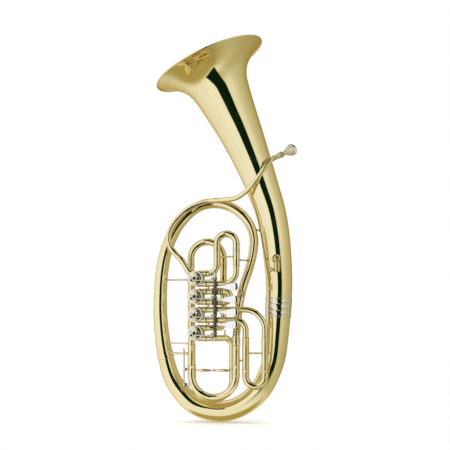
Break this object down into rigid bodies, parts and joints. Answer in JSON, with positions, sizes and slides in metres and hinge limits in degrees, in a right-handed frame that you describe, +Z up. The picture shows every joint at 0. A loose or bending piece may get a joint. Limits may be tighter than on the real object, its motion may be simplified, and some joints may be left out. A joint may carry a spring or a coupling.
{
  "type": "wagner tuba",
  "caption": "Oval brass horn with a tilted upright bell, rotary valves worked by side levers, pull-out tuning slides and a curved leadpipe with its mouthpiece.",
  "frame": {"origin": "lowest point under the bottom bow, on the plane of the body's centreline", "axes": "+Z up towards the bell, -Y towards the side with the levers, +X towards the mouthpiece"},
  "size_m": [0.2975, 0.243, 0.797],
  "materials": {
    "lacquered_brass": "polished yellow brass under clear lacquer",
    "nickel_silver": "polished nickel silver, a copper, zinc and nickel alloy, under clear lacquer",
    "silver_plate": "silver-plated brass, polished",
    "spring_steel": "drawn steel, oiled"
  },
  "bodies": {
    "instrument": {"bell": "lacquered_brass", "bell_ferrule": "nickel_silver", "bottom_bow": "lacquered_brass", "bow_ferrule": "lacquered_brass", "main_branch": "lacquered_brass", "branch_ferrule": "nickel_silver", "valve_1_casing": "nickel_silver", "valve_1_back_cap": "lacquered_brass", "valve_1_spring": "spring_steel", "valve_2_casing": "nickel_silver", "valve_2_back_cap": "lacquered_brass", "valve_2_spring": "spring_steel", "valve_3_casing": "nickel_silver", "valve_3_back_cap": "lacquered_brass", "valve_3_spring": "spring_steel", "valve_4_casing": "nickel_silver", "valve_4_back_cap": "lacquered_brass", "valve_4_spring": "spring_steel", "lever_axle": "spring_steel", "axle_bracket_top": "nickel_silver", "axle_bracket_bottom": "nickel_silver", "valve_1_slide_tubes": "lacquered_brass", "valve_2_slide_upper_tube": "lacquered_brass", "valve_2_slide_lower_tube": "lacquered_brass", "valve_3_slide_tubes": "lacquered_brass", "valve_4_loop_right": "lacquered_brass", "valve_4_loop_left": "lacquered_brass", "main_slide_left_tube": "lacquered_brass", "main_slide_right_tube": "lacquered_brass", "leadpipe": "lacquered_brass", "mouthpiece_receiver": "nickel_silver", "bell_branch_brace": "lacquered_brass", "slide_branch_brace": "lacquered_brass", "loop_branch_brace": "lacquered_brass", "lyre_holder": "lacquered_brass"},
    "main_slide": {"main_slide_bow": "lacquered_brass"},
    "water_key": {"water_key": "nickel_silver"},
    "mouthpiece": {"mouthpiece": "silver_plate"},
    "lyre_screw": {"lyre_screw": "lacquered_brass"},
    "slide_1": {"valve_1_slide_bow": "lacquered_brass"},
    "slide_2": {"valve_2_slide_bow": "lacquered_brass"},
    "slide_3": {"valve_3_slide_bow": "lacquered_brass"},
    "slide_4": {"valve_4_slide_bow": "lacquered_brass"},
    "lever_1": {"valve_1_lever": "silver_plate"},
    "rotor_1": {"valve_1_rotor": "nickel_silver", "valve_1_stop_arm": "nickel_silver"},
    "link_1": {"valve_1_link": "silver_plate"},
    "lever_2": {"valve_2_lever": "silver_plate"},
    "rotor_2": {"valve_2_rotor": "nickel_silver", "valve_2_stop_arm": "nickel_silver"},
    "link_2": {"valve_2_link": "silver_plate"},
    "lever_3": {"valve_3_lever": "silver_plate"},
    "rotor_3": {"valve_3_rotor": "nickel_silver", "valve_3_stop_arm": "nickel_silver"},
    "link_3": {"valve_3_link": "silver_plate"},
    "lever_4": {"valve_4_lever": "silver_plate"},
    "rotor_4": {"valve_4_rotor": "nickel_silver", "valve_4_stop_arm": "nickel_silver"},
    "link_4": {"valve_4_link": "silver_plate"}
  },
  "joints": [
    {"name": "lever_1_press", "type": "hinge", "parent": "instrument", "child": "lever_1", "pos_m": [-0.0065, -0.0525, 0.2742], "axis": [0, 0, 1], "range_deg": [0, 22.98], "stiffness_Nm_per_rad": 0.03, "springref_deg": -51.57},
    {"name": "rotor_1_turn", "type": "hinge", "parent": "instrument", "child": "rotor_1", "pos_m": [-0.0475, -0.04, 0.2915], "axis": [0, -1, 0], "range_deg": [0, 90]},
    {"name": "link_1_pivot", "type": "hinge", "parent": "rotor_1", "child": "link_1", "pos_m": [-0.05188, -0.07406, 0.28712], "axis": [0, 1, 0], "range_deg": [0, 90]},
    {"name": "lever_2_press", "type": "hinge", "parent": "instrument", "child": "lever_2", "pos_m": [-0.0065, -0.0525, 0.2485], "axis": [0, 0, 1], "range_deg": [0, 22.98], "stiffness_Nm_per_rad": 0.03, "springref_deg": -51.57},
    {"name": "rotor_2_turn", "type": "hinge", "parent": "instrument", "child": "rotor_2", "pos_m": [-0.0475, -0.04, 0.2548], "axis": [0, -1, 0], "range_deg": [0, 90]},
    {"name": "link_2_pivot", "type": "hinge", "parent": "rotor_2", "child": "link_2", "pos_m": [-0.05188, -0.07406, 0.25042], "axis": [0, 1, 0], "range_deg": [0, 90]},
    {"name": "lever_3_press", "type": "hinge", "parent": "instrument", "child": "lever_3", "pos_m": [-0.0065, -0.0525, 0.2232], "axis": [0, 0, 1], "range_deg": [0, 22.98], "stiffness_Nm_per_rad": 0.03, "springref_deg": -51.57},
    {"name": "rotor_3_turn", "type": "hinge", "parent": "instrument", "child": "rotor_3", "pos_m": [-0.0475, -0.04, 0.2181], "axis": [0, -1, 0], "range_deg": [0, 90]},
    {"name": "link_3_pivot", "type": "hinge", "parent": "rotor_3", "child": "link_3", "pos_m": [-0.05188, -0.07406, 0.21372], "axis": [0, 1, 0], "range_deg": [0, 90]},
    {"name": "lever_4_press", "type": "hinge", "parent": "instrument", "child": "lever_4", "pos_m": [-0.0065, -0.0525, 0.1986], "axis": [0, 0, 1], "range_deg": [0, 22.98], "stiffness_Nm_per_rad": 0.03, "springref_deg": -51.57},
    {"name": "rotor_4_turn", "type": "hinge", "parent": "instrument", "child": "rotor_4", "pos_m": [-0.0475, -0.04, 0.1814], "axis": [0, -1, 0], "range_deg": [0, 90]},
    {"name": "link_4_pivot", "type": "hinge", "parent": "rotor_4", "child": "link_4", "pos_m": [-0.05188, -0.07406, 0.17702], "axis": [0, 1, 0], "range_deg": [0, 90]},
    {"name": "main_slide_pull", "type": "slide", "parent": "instrument", "child": "main_slide", "axis": [0, 0, -1], "range_m": [0, 0.022]},
    {"name": "slide_1_pull", "type": "slide", "parent": "instrument", "child": "slide_1", "axis": [0, 0, 1], "range_m": [0, 0.022]},
    {"name": "slide_2_pull", "type": "slide", "parent": "instrument", "child": "slide_2", "axis": [1, 0, 0], "range_m": [0, 0.009]},
    {"name": "slide_3_pull", "type": "slide", "parent": "instrument", "child": "slide_3", "axis": [0, 0, -1], "range_m": [0, 0.022]},
    {"name": "slide_4_pull", "type": "slide", "parent": "instrument", "child": "slide_4", "axis": [0, 0, 1], "range_m": [0, 0.022]},
    {"name": "mouthpiece_pull", "type": "slide", "parent": "instrument", "child": "mouthpiece", "axis": [0.3707, 0.8664, 0.3345], "range_m": [0, 0.02]},
    {"name": "water_key_press", "type": "hinge", "parent": "main_slide", "child": "water_key", "pos_m": [-0.068, -0.04, 0.108], "axis": [0, 1, 0], "range_deg": [0, 7], "stiffness_Nm_per_rad": 0.03, "springref_deg": -51.57},
    {"name": "lyre_screw_turn", "type": "hinge", "parent": "instrument", "child": "lyre_screw", "pos_m": [0.1179, -0.0405, 0.309], "axis": [-1, 0, 0], "range_deg": [0, 180]}
  ],
  "couplings": [
    {"joint": "rotor_1_turn", "follows": "lever_1_press", "ratio": 3.9149},
    {"joint": "link_1_pivot", "follows": "lever_1_press", "ratio": 3.9149},
    {"joint": "rotor_2_turn", "follows": "lever_2_press", "ratio": 3.9149},
    {"joint": "link_2_pivot", "follows": "lever_2_press", "ratio": 3.9149},
    {"joint": "rotor_3_turn", "follows": "lever_3_press", "ratio": 3.9149},
    {"joint": "link_3_pivot", "follows": "lever_3_press", "ratio": 3.9149},
    {"joint": "rotor_4_turn", "follows": "lever_4_press", "ratio": 3.9149},
    {"joint": "link_4_pivot", "follows": "lever_4_press", "ratio": 3.9149}
  ]
}
